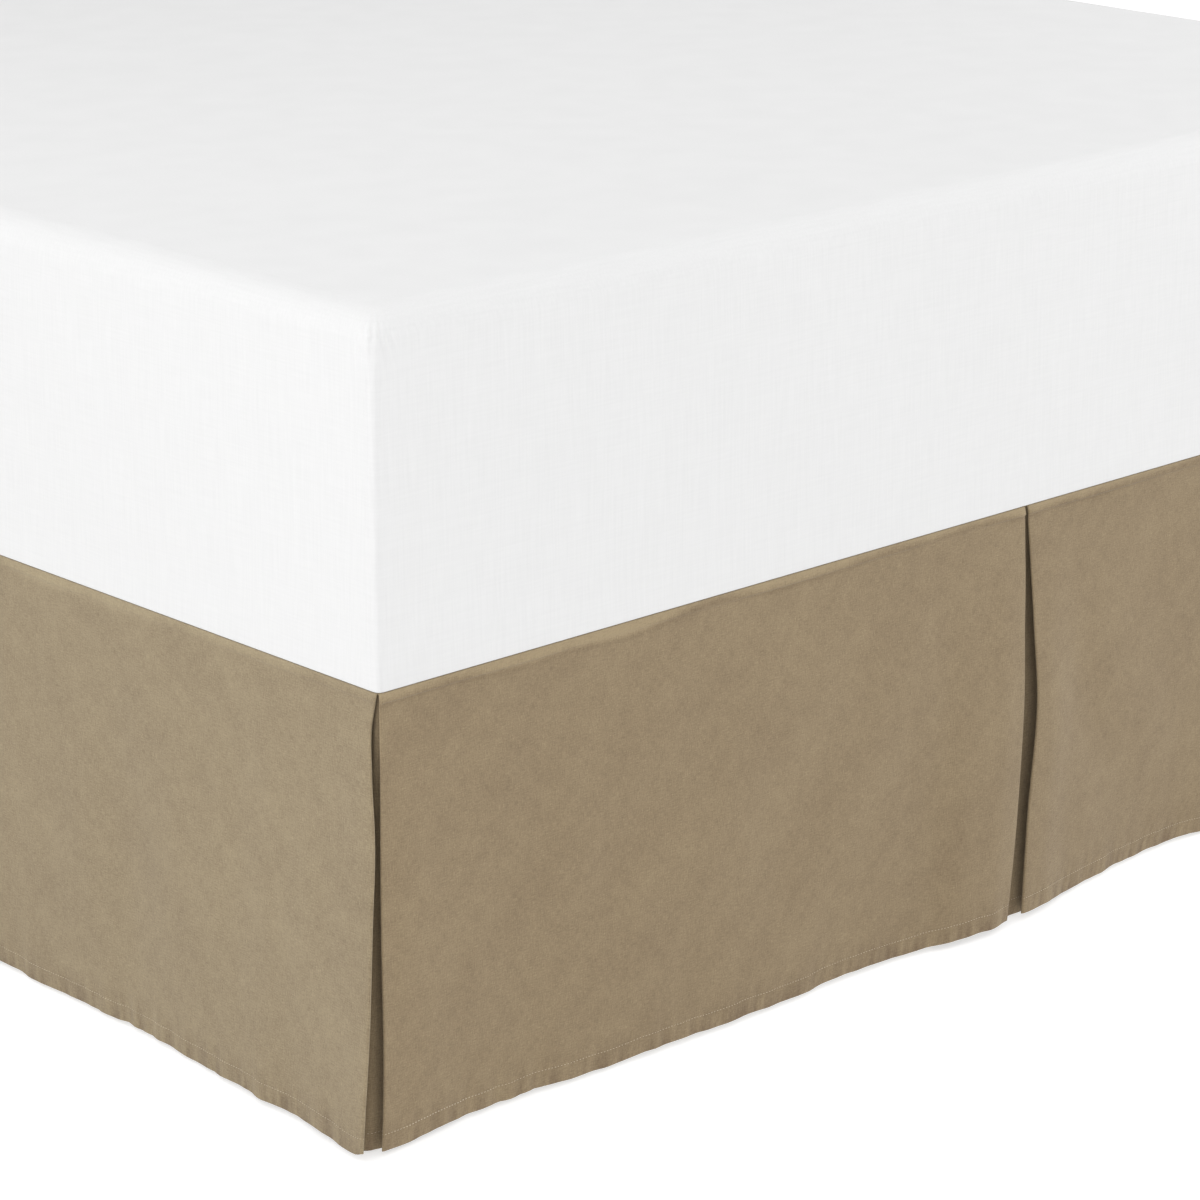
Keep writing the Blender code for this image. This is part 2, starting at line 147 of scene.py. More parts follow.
# Slight waves over the whole cloth, in mm: along the edge, how far a wave leans for each mm down, where
# it starts, and its height. They grow from the top edge down to this share of the drop.
Wave = namedtuple("Wave", "length lean start height")
WAVES = (
    Wave(238, 0.35, 20, 0.4), Wave(151, -0.5, 63, 0.28), Wave(97, 0.2, 11, 0.2), Wave(61, -0.15, 40, 0.1),
    Wave(37, 0.3, 5, 0.05),
)
WAVES_GROWN = 0.3

# Ripples at the hem's edge only, in the same terms, and how far up they reach.
HEM_RIPPLES = (Wave(83, 0, 12, 0.45), Wave(46, 0, 31, 0.35), Wave(27, 0, 3, 0.2), Wave(19, 0, 7, 0.12))
RIPPLE_REACH = 45 * MM

# The hem's edge isn't quite level, and the rows above it follow it a little way up.
HEM_RISES = (Wave(205, 0, 60, 0.45), Wave(118, 0, 15, 0.4), Wave(57, 0, 22, 0.3), Wave(31, 0, 9, 0.16))
RISE_REACH = 110 * MM

# Small puckers where the hem's stitches draw the cloth in, in mm: along the edge, half width, depth.
# They have these shares of their depth at the stitches and at the hem's edge.
PUCKERS = {
    "left": (
        (30, 5, 0.5), (92, 5, 1.2), (139, 7, 1.8), (194, 6, 1.4), (222, 9, 2.2), (258, 5, 1),
        (287, 5, 1.5), (303, 5, 1), (324, 7, 2), (367, 5, 1.5), (413, 8, 1.8), (560, 6, 1.2),
        (700, 6, 1.2), (790, 7, 1.5), (1240, 7, 1.5), (1475, 6, 1.3), (1745, 7, 1.4),
    ),
    "foot": (
        (36, 6, 1.1), (72, 5, 0.9), (109, 4.5, 1.8), (131, 4.5, 1.3), (147, 4.5, 1.8), (176, 6, 0.6),
        (286, 7, 0.9), (352, 6, 0.8), (470, 7, 0.9), (640, 6, 0.8), (842, 7, 0.8), (1010, 6, 0.6),
        (1190, 7, 0.8), (1360, 6, 0.7),
    ),
    "right": (
        (90, 6, 0.7), (330, 7, 0.8), (610, 6, 0.7), (1180, 7, 0.8), (1560, 6, 0.7),
    ),
}
PUCKER_RISE = 13 * MM
PUCKER_AT_STITCHES = 0.7
PUCKER_AT_EDGE = 0.6

# The left drop's hem draws up at its folded edge: where along the edge, its half width, its height and
# how far up it reaches.
TUCK_ALONG = -22 * MM
TUCK_WIDTH = 5 * MM
TUCK_RISE = 3.2 * MM
TUCK_REACH = 30 * MM

# Where the folded edges of the pleats run, in mm along the edge from the pleat's own place, at these
# shares of the drop. `before` is the folded edge nearer the edge's start, `after` the one beyond it.
EDGE_SHARES = (0, 0.08, 0.17, 0.3, 0.5, 0.75, 1)
FOLDED_EDGES = {
    "left corner, side": (3.7, 7.5, 2.6, -5.1, -9.9, -17.4, -21.8),
    "left corner, foot": (2.3, 1.3, -0.1, -2.8, -6.5, -11.8, -20.8),
    "right corner, side": (3.6, 6, 2.5, -3.5, -9, -14, -18),
    "right corner, foot": (-2, -1.2, 0.4, 3.5, 8, 12.5, 17),
    "foot, before": (0.9, 0, -1.6, -6.5, -13.2, -29.8, -52.1),
    "foot, after": (5.4, 6.7, 7.4, 7.8, 5.7, -13.4, -31),
    "left, before": (-1.5, -2, -3, -4.5, -6.5, -8, -8),
    "left, after": (2.5, 3.5, 4, 4.5, 6, 9, 12),
    "right, before": (-1.5, -2.2, -3.2, -5, -8, -11.5, -14),
    "right, after": (2.5, 3.2, 3.6, 4, 4.5, 6, 8),
}

# How far the pleats' underlay lies behind the front cloth, in mm, at the same shares of the drop, and
# how much lower it hangs.
UNDER_DEPTHS = (4, 7, 10, 12.5, 13.5, 12.5, 11)
UNDER_DROOP = 2.4 * MM

# The layers of a pleat, from the front, and the end of a side drop where it is lapped onto the foot's.
FRONT, RETURN, UNDER, LAPPED = range(4)

# The deck's edges: where each starts, which way it runs and which way it faces.
Edge = namedtuple("Edge", "corner run facing")
EDGES = {
    "left": Edge(np.array((-HALF_W, FOOT_Y)), np.array((0, 1)), np.array((-1, 0))),
    "foot": Edge(np.array((-HALF_W, FOOT_Y)), np.array((1, 0)), np.array((0, -1))),
    "right": Edge(np.array((HALF_W, FOOT_Y)), np.array((0, 1)), np.array((1, 0))),
}

# The rows of the cloth, in mm down from the drop's top edge. Those above it are on the roll.
ROLL_ROWS = (-3.9, -3, -2, -1.5, -1, -0.5)
SEAM_ROWS = (0, 1.2, 2.4, 3.7, 5, 5.6, 6.2, 6.8, 7.5, 9, 12, 16, 20.5, 26)
BODY_STEP = 8
HEM_ROWS_UP = (25, 20.5, 17.5, 15.8, 14.8, 14, 13.2, 12.4, 11, 9.2, 7.4, 5.5, 3.8, 2.4, 1.2, 0.5, 0)

# Stitches along the hem. A stitch is full within this share of its length on each side of its middle.
STITCH_PITCH = 3.3 * MM
STITCH_LENGTH = 1.7 * MM
STITCH_RADIUS = 0.28 * MM
STITCH_SINK = 0.12 * MM
STITCH_FULL = 0.32

# The thread stands out of the cloth by the foot drop's left corner, and rises and sinks over these
# lengths of the foot. Elsewhere it has this share of its radius.
SUNK_THREAD = 0.55
LOOSE_START = (-15 * MM, 15 * MM)
LOOSE_END = (60 * MM, 115 * MM)


def blend(low, high, share):
    return low + (high - low) * share


def ease(low, high, x):
    """0 below `low`, 1 above `high`, and a smooth step between them."""
    u = np.clip((x - low) / (high - low), 0, 1)
    return u * u * (3 - 2 * u)


def smooth(xs, ys, x):
    """The values at x of a smooth curve through a table's points."""
    xs, ys, x = np.array(xs, float), np.array(ys, float), np.clip(x, xs[0], xs[-1])
    slopes = np.empty_like(ys)
    slopes[1:-1] = (ys[2:] - ys[:-2]) / (xs[2:] - xs[:-2])
    slopes[0] = (ys[1] - ys[0]) / (xs[1] - xs[0])
    slopes[-1] = (ys[-1] - ys[-2]) / (xs[-1] - xs[-2])
    k = np.clip(np.searchsorted(xs, x, side="right") - 1, 0, len(xs) - 2)
    span = xs[k + 1] - xs[k]
    u = (x - xs[k]) / span
    rise = ys[k + 1] - ys[k]
    start, end = slopes[k] * span, slopes[k + 1] * span
    return ys[k] + u * (start + u * (3 * rise - 2 * start - end + u * (start + end - 2 * rise)))


def row_places():
    """How far down the cloth each row lies, from the roll over the deck's edge to the hem."""
    body_start, body_end = SEAM_ROWS[-1], DROP / MM - HEM_ROWS_UP[0]
    count = round((body_end - body_start) / BODY_STEP)
    body = np.linspace(body_start, body_end, count + 1)[1:-1]
    hem = DROP / MM - np.array(HEM_ROWS_UP)
    return np.concatenate([ROLL_ROWS, SEAM_ROWS, body, hem]) * MM


# Each row's place down the cloth and its share of the drop, as columns that spread along the cloth.
DOWN = row_places()[:, None]
SHARE = np.clip(DOWN / DROP, 0, 1)
UP = DROP - DOWN
STITCH_ROW = int(np.argmin(abs(UP[:, 0] - HEM)))


def hem_out(edge, along):
    xs, ys = zip(*HEM_OUT[edge])
    return smooth(xs, ys, along / MM) * MM


def fold_height(fold, along):
    """How far a soft fold lifts the cloth here."""
    u = np.clip((SHARE - fold.start) / (fold.end - fold.start), 0, 1)
    middle = blend(fold.along_start, fold.along_end, u)
    across = (along / MM - middle) / fold.width
    return fold.height * MM * np.sin(math.pi * u) ** 2 * np.exp(-across * across)


def wave_height(waves, along):
    total = 0
    for wave in waves:
        place = along / MM + wave.lean * DOWN / MM - wave.start
        total = total + wave.height * MM * np.sin(2 * math.pi * place / wave.length)
    return total


def pucker_depth(edge, along):
    """How far the hem's puckers draw the cloth in, most at the stitches and the hem's edge."""
    near_stitches = np.exp(-(((UP - HEM) / PUCKER_RISE) ** 2)) * PUCKER_AT_STITCHES
    total = 0
    for place, width, depth in PUCKERS[edge]:
        across = (along / MM - place) / width
        total = total + depth * MM * np.exp(-across * across)
    return total * (near_stitches + ease(HEM, 0, UP) * PUCKER_AT_EDGE)


def front_out(edge, along):
    """How far the front cloth's outer face stands out from the deck's edge."""
    out = hem_out(edge, along[-1]) * SHARE**FALL
    for row in FOLDS[edge]:
        out = out + fold_height(Fold(*row), along)
    out = out + wave_height(WAVES, along) * ease(0, WAVES_GROWN, SHARE)
    out = out + wave_height(HEM_RIPPLES, along) * ease(RIPPLE_REACH, 0, UP)
    return out - pucker_depth(edge, along)


def seam_ridge(edge, along):
    """The soft ridge over the seam allowance, a little uneven along the seam."""
    sway = RIDGE_MEAN
    for length, start, share in RIDGE_SWAYS:
        sway = sway + share * np.sin(along / (length * MM) + start)
    rising = np.clip(DOWN / RIDGE_AT, 0, 1)
    return RIDGES[edge] * sway * rising * ease(RIDGE_END, RIDGE_AT, DOWN)


def layer_depth(layer):
    """How far a layer lies behind the front one, at each row."""
    if layer == FRONT:
        return np.zeros_like(DOWN)
    if layer == RETURN:
        return blend(RETURN_TOP, RETURN_HEM, SHARE)
    under = smooth(EDGE_SHARES, UNDER_DEPTHS, SHARE) * MM
    return under if layer == UNDER else under - CLOTH - LAP_GAP


def height(hang):
    """The height of each row of cloth whose hem stands out by `hang`: the cloth doesn't stretch."""
    return DROP_TOP - SHARE * np.sqrt(DROP**2 - hang**2)


def over_edge(depth):
    """How far in and how far up the rows above the drop's top edge lie, as they roll over the deck's
    edge. Layers that lie deeper roll round a smaller radius."""
    radius = np.maximum(ROLL - ROLL_NEST * depth, CLOTH / 2)
    past = np.maximum(-DOWN, 0)
    angle = np.minimum(past / radius, math.pi / 2)
    return radius * (1 - np.cos(angle)) + past - radius * angle, radius * np.sin(angle)


def lay(edge, along, depth):
    """The points of cloth at these places along an edge and depths behind the front, row by row."""
    side = EDGES[edge]
    frontness = np.clip(1 - depth / layer_depth(RETURN), 0, 1)
    inward, rise = over_edge(depth)
    out = front_out(edge, along) + frontness * seam_ridge(edge, along) - depth - CLOTH / 2 - inward
    plan = side.corner + side.run * along[..., None] + side.facing * out[..., None]
    up = height(hem_out(edge, along[-1]) - depth[-1]) + rise
    up = up + wave_height(HEM_RISES, along) * ease(RISE_REACH, 0, UP)
    if edge == "left":
        tuck = np.exp(-(((along - TUCK_ALONG) / TUCK_WIDTH) ** 2))
        up = up + TUCK_RISE * tuck * ease(TUCK_REACH, 0, UP)
    up = up - UNDER_DROOP * SHARE * np.clip(depth / layer_depth(UNDER), 0, 1)
    return np.concatenate([plan, up[..., None]], axis=2)


def layer_span(edge, start, end, layer):
    """Even columns of a layer of cloth, from one place along an edge to another."""
    count = max(2, round(abs((end - start)[-1, 0]) / COLUMN))
    along = blend(start, end, np.linspace(0, 1, count + 1))
    return lay(edge, along, layer_depth(layer) + np.zeros_like(along))


def turn(edge, tip, heading, near, far):
    """The columns round a folded edge, from layer `near` to layer `far`. It points along the edge
    (heading 1) or back (-1), and reaches `tip`."""
    angle = np.linspace(0, math.pi, TURN_STEPS + 1)
    radius = abs(layer_depth(far) - layer_depth(near)) / 2
    middle = (layer_depth(far) + layer_depth(near)) / 2
    along = tip - heading * radius * (1 - np.sin(angle))
    depth = middle - math.copysign(1, far - near) * radius * np.cos(angle)
    return lay(edge, along, depth)


def folded_edge(name, place):
    """Where a pleat's folded edge runs, at each row."""
    return place + smooth(EDGE_SHARES, FOLDED_EDGES[name], SHARE) * MM


def middle_pleat(edge, before, after):
    """An inverted pleat at the middle of an edge, from one folded edge to the other."""
    inner_before, inner_after = before - PLEAT_DEPTH, after + PLEAT_DEPTH
    return [
        turn(edge, before, 1, FRONT, RETURN),
        layer_span(edge, before - TURN_CLEAR, inner_before + TURN_CLEAR, RETURN),
        turn(edge, inner_before, -1, RETURN, UNDER),
        layer_span(edge, inner_before + TURN_CLEAR, inner_after - TURN_CLEAR, UNDER),
        turn(edge, inner_after, 1, UNDER, RETURN),
        layer_span(edge, inner_after - TURN_CLEAR, after + TURN_CLEAR, RETURN),
        turn(edge, after, -1, RETURN, FRONT),
    ]


def corner_bend(side_name, corner_along):
    """The underlay going round a corner of the bed, from the side to the foot, and where along the two
    edges it starts and ends."""
    side, foot = EDGES[side_name], EDGES["foot"]
    angle = np.linspace(0, math.pi / 2, CORNER_STEPS + 1)
    radius = blend(CORNER_R_TOP, CORNER_R_HEM, SHARE)
    behind = CLOTH / 2 + layer_depth(UNDER) + radius
    at_corner = np.zeros_like(DOWN)
    side_out = front_out(side_name, at_corner) - behind
    foot_out = front_out("foot", at_corner + corner_along) - behind
    inward, rise = over_edge(layer_depth(UNDER))
    out_side = side_out + (radius - inward) * np.cos(angle)
    out_foot = foot_out + (radius - inward) * np.sin(angle)
    plan = side.corner + side.facing * out_side[..., None] + foot.facing * out_foot[..., None]
    hang = (hem_out(side_name, 0.0) + hem_out("foot", corner_along)) / 2 - layer_depth(UNDER)[-1]
    up = height(hang) + rise - UNDER_DROOP * SHARE + np.zeros_like(out_side)
    bend = np.concatenate([plan, up[..., None]], axis=2)
    return bend, -foot_out, -side_out


def corner_end(side_name, side_tip, tip):
    """The foot drop's end round a corner, from its lapped edge behind the side drop to its front."""
    corner_along, heading = (0.0, -1) if side_name == "left" else (DECK_W, 1)
    bend, side_start, foot_in = corner_bend(side_name, corner_along)
    foot_start = corner_along - heading * foot_in
    inner = tip - heading * PLEAT_DEPTH
    clear = heading * TURN_CLEAR
    return [
        layer_span(side_name, side_tip + PLEAT_DEPTH, side_start + TURN_CLEAR, UNDER),
        bend,
        layer_span("foot", foot_start - clear, inner + clear, UNDER),
        turn("foot", inner, -heading, UNDER, RETURN),
        layer_span("foot", inner + clear, tip - clear, RETURN),
        turn("foot", tip, heading, RETURN, FRONT),
    ]


def foot_cloth():
    left_side = folded_edge("left corner, side", 0)
    right_side = folded_edge("right corner, side", 0)
    left_tip = folded_edge("left corner, foot", 0)
    right_tip = folded_edge("right corner, foot", DECK_W)
    before = folded_edge("foot, before", DECK_W / 2)
    after = folded_edge("foot, after", DECK_W / 2)
    right_end = [part[:, ::-1] for part in corner_end("right", right_side, right_tip)][::-1]
    return [
        *corner_end("left", left_side, left_tip),
        layer_span("foot", left_tip + TURN_CLEAR, before - TURN_CLEAR, FRONT),
        *middle_pleat("foot", before, after),
        layer_span("foot", after + TURN_CLEAR, right_tip - TURN_CLEAR, FRONT),
        *right_end,
    ]


def side_cloth(edge):
    """A side drop, from the end that is lapped behind its corner to its end at the head."""
    tip = folded_edge(f"{edge} corner, side", 0)
    before = folded_edge(f"{edge}, before", DECK_L / 2)
    after = folded_edge(f"{edge}, after", DECK_L / 2)
    count = round((PLEAT_DEPTH - TURN_CLEAR) / COLUMN)
    back = np.linspace(PLEAT_DEPTH, TURN_CLEAR, count + 1)
    lapped = ease(PLEAT_DEPTH - LAP - LAP_RUN, PLEAT_DEPTH - LAP, back)
    end_depth = blend(layer_depth(RETURN), layer_depth(LAPPED), lapped)
    return [
        lay(edge, tip + back, end_depth),
        turn(edge, tip, -1, RETURN, FRONT),
        layer_span(edge, tip + TURN_CLEAR, before - TURN_CLEAR, FRONT),
        *middle_pleat(edge, before, after),
        layer_span(edge, after + TURN_CLEAR, np.full_like(DOWN, DECK_L), FRONT),
    ]


def grid_normals(points):
    """Unit normals of a grid of points."""
    across = np.gradient(points, axis=1)
    down = np.gradient(points, axis=0)
    normals = np.cross(across, down)
    return normals / np.linalg.norm(normals, axis=2, keepdims=True)


def run_along(points):
    """Each point's distance along its row from the row's start."""
    steps = np.linalg.norm(np.diff(points, axis=1), axis=2)
    return np.concatenate([np.zeros((len(points), 1)), np.cumsum(steps, axis=1)], axis=1)


def grid_quads(rows, columns, first=0):
    corner = np.arange(rows - 1)[:, None] * columns + np.arange(columns - 1) + first
    quads = np.stack([corner, corner + columns, corner + columns + 1, corner + 1], axis=2)
    return quads.reshape(-1, 4).tolist()


def rim_loop(rows, columns):
    """The grid's outer points in order."""
    top = list(range(columns))
    right = [r * columns + columns - 1 for r in range(1, rows)]
    bottom = [(rows - 1) * columns + c for c in range(columns - 2, -1, -1)]
    left = [r * columns for r in range(rows - 2, 0, -1)]
    return top + right + bottom + left


def link(name, data):
    made = bpy.data.objects.new(name, data)
    bpy.context.scene.collection.objects.link(made)
    return made


def add_object(name, points, faces, material, uv=None):
    """An object from points and faces, turned outward and shaded smooth, with its flat coordinates."""
    mesh = bpy.data.meshes.new(name)
    mesh.from_pydata(np.asarray(points).tolist(), [], faces)
    work = bmesh.new()
    work.from_mesh(mesh)
    bmesh.ops.recalc_face_normals(work, faces=work.faces)
    work.to_mesh(mesh)
    work.free()
    if uv is not None:
        layer = mesh.uv_layers.new(name="flat")
        corners = np.empty(len(mesh.loops), np.int32)
        mesh.loops.foreach_get("vertex_index", corners)
        layer.data.foreach_set("uv", np.asarray(uv, np.float32)[corners].ravel())
    mesh.shade_smooth()
    mesh.set_sharp_from_angle(angle=SHARP_ANGLE)
    mesh.materials.append(material)
    return link(name, mesh)


def two_faced_sheet(name, front, back, flat, material):
    """A closed sheet from the grids of its two faces, joined round its rim."""
    rows, columns = front.shape[:2]
    count = rows * columns
    points = np.concatenate([front.reshape(-1, 3), back.reshape(-1, 3)])
    rim = rim_loop(rows, columns)
    faces = grid_quads(rows, columns) + grid_quads(rows, columns, count)
    faces += [(a, b, b + count, a + count) for a, b in zip(rim, rim[1:] + rim[:1])]
    uv = np.concatenate([flat.reshape(-1, 2), flat.reshape(-1, 2)])
    return add_object(name, points, faces, material, uv)


def thread_radius(place):
    """The stitches' radius at a point of the hem."""
    along = place[0] + HALF_W
    loose = ease(*LOOSE_START, along) * ease(*LOOSE_END[::-1], along) * (place[1] < FOOT_Y)
    return STITCH_RADIUS * blend(SUNK_THREAD, 1, loose)


def stitch_shape(start, end, normal):
    """A stitch as a short spindle that lies half in the cloth."""
    along = end - start
    middle = (start + end) / 2 + normal * STITCH_SINK
    radius = thread_radius(start)
    side = np.cross(normal, along / np.linalg.norm(along)) * radius
    rise = normal * radius
    rings = []
    for share in (-STITCH_FULL, STITCH_FULL):
        centre = middle + along * share
        rings += [centre + side, centre + rise, centre - side, centre - rise]
    points = [start - normal * STITCH_SINK, *rings, end - normal * STITCH_SINK]
    faces = []
    for k in range(4):
        after = (k + 1) % 4
        faces.append((0, 1 + k, 1 + after))
        faces.append((1 + k, 5 + k, 5 + after, 1 + after))
        faces.append((9, 5 + after, 5 + k))
    return points, faces


def stitches(name, line, normals, material):
    """A row of stitches along a line on the cloth's face."""
    steps = np.linalg.norm(np.diff(line, axis=0), axis=1)
    run = np.concatenate([[0], np.cumsum(steps)])
    count = int(run[-1] / STITCH_PITCH)
    starts = (np.arange(count) + 0.5) * run[-1] / count
    points, faces = [], []

    def at(values, place):
        return np.array([np.interp(place, run, values[:, axis]) for axis in range(3)])

    for place in starts:
        normal = at(normals, place + STITCH_LENGTH / 2)
        shape, sides = stitch_shape(at(line, place), at(line, place + STITCH_LENGTH), normal)
        faces += [tuple(len(points) + k for k in side) for side in sides]
        points += shape
    return add_object(name, points, faces, material)


def drop(node, parts, outward, cloth, thread, end_hemmed):
    """One drop of the skirt, with its hem turned up behind it and its row of stitches. Its grid's normals
    times `outward` point away from the bed, and a side drop's end at the head is hemmed too."""
    middle = np.concatenate(parts, axis=1)
    normals = grid_normals(middle) * outward
    run = run_along(middle)
    hemmed = ease(HEM + HEM_STEP, HEM, UP) + np.zeros_like(run)
    if end_hemmed:
        hemmed = np.maximum(hemmed, ease(SIDE_HEM + HEM_STEP, SIDE_HEM, run[:, -1:] - run))
    front = middle + normals * CLOTH / 2
    back = middle - normals * (CLOTH / 2 + HEM_LAYERS * hemmed)[..., None]
    flat = np.stack([run, DROP - DOWN + np.zeros_like(run)], axis=2)
    made = two_faced_sheet(f"{node}_cloth", front, back, flat, cloth)
    sewn = stitches(f"{node}_stitches", front[STITCH_ROW], normals[STITCH_ROW], thread)
    for piece in (made, sewn):
        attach(piece, "root")
    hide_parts(node)


# ---- The deck, the mattress, the base and the legs.

DECK_CLOTH = 0.35 * MM
DECK_RISE = 1.45 * MM
DECK_INSET = 3.6 * MM
DECK_HEM = 12 * MM
DECK_COLUMNS = 60
DECK_ROWS = 80

# The mattress, in its fitted sheet. It narrows towards its top, and beside its edges its lines are
# close. Its corners are round at the top and nearly square lower down: their plan is |x|^n + |y|^n = 1.
# Its relief starts at its low edge, is full where the sheet hangs free, and has this share on its top.
MATTRESS_RISE = 1.5 * MM
MATTRESS_LEAN = 4 * MM
MATTRESS_ROUND = 28 * MM
MATTRESS_LOW_EDGE = 0.5 * MM
ROUND_POWER = 2
SQUARE_POWER = 12
SQUARE_BELOW = 85 * MM
MATTRESS_STEP = 21 * MM
EDGE_ZONE = 42 * MM
EDGE_ZONE_STEP = 3.5 * MM
CORNER_LINES = 20
EDGE_LINES = 9
BELLY = 1.5 * MM
FREE_FROM = 60 * MM
TOP_SHARE = 0.4

# The sheet's seam down each corner: how far it lies round from the corner's middle, its half width and
# height, the length and depth of the puckers along it, and the gathers fanning out under its top.
SEAM_PLACE = -4 * MM
SEAM_WIDTH = 3 * MM
SEAM_HEIGHT = 1 * MM
SEAM_PUCKER = 8 * MM
SEAM_PUCKER_DEPTH = 0.35 * MM
GATHER_LENGTH = 6.5 * MM
GATHER_HEIGHT = 0.7 * MM
GATHER_SPREAD = 17 * MM
GATHER_TOP = 24 * MM
GATHER_FALL = 30 * MM
CORNER_REACH = 68 * MM

# Long soft swells of the sheet, in mm: wavelength along the bed and up it, start, and height.
Swell = namedtuple("Swell", "along up start height")
SWELLS = (
    Swell(760, 900, 90, 1.1), Swell(430, -520, 20, 0.6), Swell(270, 330, 140, 0.35),
    Swell(173, -240, 60, 0.18),
)

# Faint wrinkles of the sheet, in mm: along the edge and up from the mattress's low edge at the
# wrinkle's start and end, half width and height.
Wrinkle = namedtuple("Wrinkle", "start end width height")
WRINKLES = {
    "foot": (
        ((690, 128), (1180, 172), 11, 0.9), ((780, 92), (1330, 146), 13, -0.8),
        ((900, 70), (1240, 104), 10, 0.7), ((240, 150), (520, 168), 14, 0.5),
        ((1010, 230), (1330, 214), 12, 0.5),
    ),
    "left": (
        ((210, 60), (520, 110), 16, 0.5), ((640, 190), (1100, 150), 14, 0.7),
        ((1250, 90), (1760, 160), 15, -0.7),
    ),
    "right": (
        ((220, 150), (700, 110), 14, 0.7), ((900, 80), (1380, 150), 15, -0.7),
        ((1500, 200), (1850, 160), 13, 0.6),
    ),
}


def rounded_lines(low, high, low_edge, high_edge, step, zone, fine, count):
    """Grid lines across a box: `count` within each round edge, fine ones in a zone beside it, and coarser
    ones between."""
    bend = np.tan(np.linspace(0, math.pi / 4, count + 1))
    beside = np.arange(0, zone, fine)
    start, end = low + low_edge, high - high_edge
    steps = max(1, round((end - start - 2 * zone) / step))
    between = np.linspace(start + zone, end - zone, steps + 1)
    before = low + low_edge * (1 - bend[::-1])
    after = high - high_edge * (1 - bend)
    return np.concatenate([before[:-1], start + beside, between, (end - beside)[::-1], after[1:]])


def box_surface(lines):
    """The points and faces of a box's surface on three sets of grid lines."""
    index, points, faces = {}, [], []

    def point(*place):
        if place not in index:
            index[place] = len(points)
            points.append([lines[axis][place[axis]] for axis in range(3)])
        return index[place]

    for axis in range(3):
        u, v = (axis + 1) % 3, (axis + 2) % 3
        for end in (0, len(lines[axis]) - 1):
            for i in range(len(lines[u]) - 1):
                for j in range(len(lines[v]) - 1):
                    corners = []
                    for di, dj in ((0, 0), (1, 0), (1, 1), (0, 1)):
                        place = [0, 0, 0]
                        place[axis], place[u], place[v] = end, i + di, j + dj
                        corners.append(point(*place))
                    faces.append(tuple(corners))
    return np.array(points), faces


def squared(points, middle, half, radius, power):
    """Squares the round corners of a block's plan."""
    offset = points[:, :2] - middle
    beyond = np.maximum(abs(offset) - (half - radius), 0)
    length = np.maximum(np.linalg.norm(beyond, axis=1), TINY)
    total = ((beyond / length[:, None]) ** power[:, None]).sum(axis=1)
    further = np.where(total > 0, np.maximum(total, TINY) ** (-1 / power), 1)
    reach = np.minimum(abs(offset), half - radius) + beyond * further[:, None]
    return np.concatenate([middle + np.sign(offset) * reach, points[:, 2:]], axis=1)


def round_box(points, low, high, low_edges, high_edges):
    """Rounds a box: points within the edges' radii move onto ellipsoids. Also gives their normals."""
    inner_low, inner_high = low + low_edges, high - high_edges
    core = np.clip(points, inner_low, inner_high)
    beyond = points - core
    reach = np.where(beyond < 0, low_edges, high_edges)
    scaled = beyond / reach
    length = np.maximum(np.linalg.norm(scaled, axis=1, keepdims=True), TINY)
    return core + reach * scaled / length, scaled / length


def rounded_block(low, high, corner, low_edge, top_edge, step, zone, fine, counts):
    """A block with round edges, with this many lines across each of its corners and its level edges."""
    low_edges = np.array((corner, corner, low_edge))
    high_edges = np.array((corner, corner, top_edge))
    counts = (counts[0], counts[0], counts[1])
    lines = [
        rounded_lines(low[k], high[k], low_edges[k], high_edges[k], step, zone, fine, counts[k])
        for k in range(3)
    ]
    points, faces = box_surface(lines)
    rounded, normals = round_box(points, low, high, low_edges, high_edges)
    return rounded, normals, faces


def swell_height(along, up):
    total = 0
    for swell in SWELLS:
        place = (along / MM - swell.start) / swell.along + up / MM / swell.up
        total = total + swell.height * MM * np.sin(2 * math.pi * place)
    return total


def wrinkle_height(wrinkle, along, up):
    """A wrinkle's height at places on its face: highest at its middle, and gone at its ends."""
    start, end = (np.array(place) * MM for place in (wrinkle.start, wrinkle.end))
    run = end - start
    length = np.linalg.norm(run)
    along_it = ((along - start[0]) * run[0] + (up - start[1]) * run[1]) / length**2
    off_it = ((along - start[0]) * run[1] - (up - start[1]) * run[0]) / length
    fade = np.sin(math.pi * np.clip(along_it, 0, 1)) ** 2
    return wrinkle.height * MM * fade * np.exp(-((off_it / (wrinkle.width * MM)) ** 2))


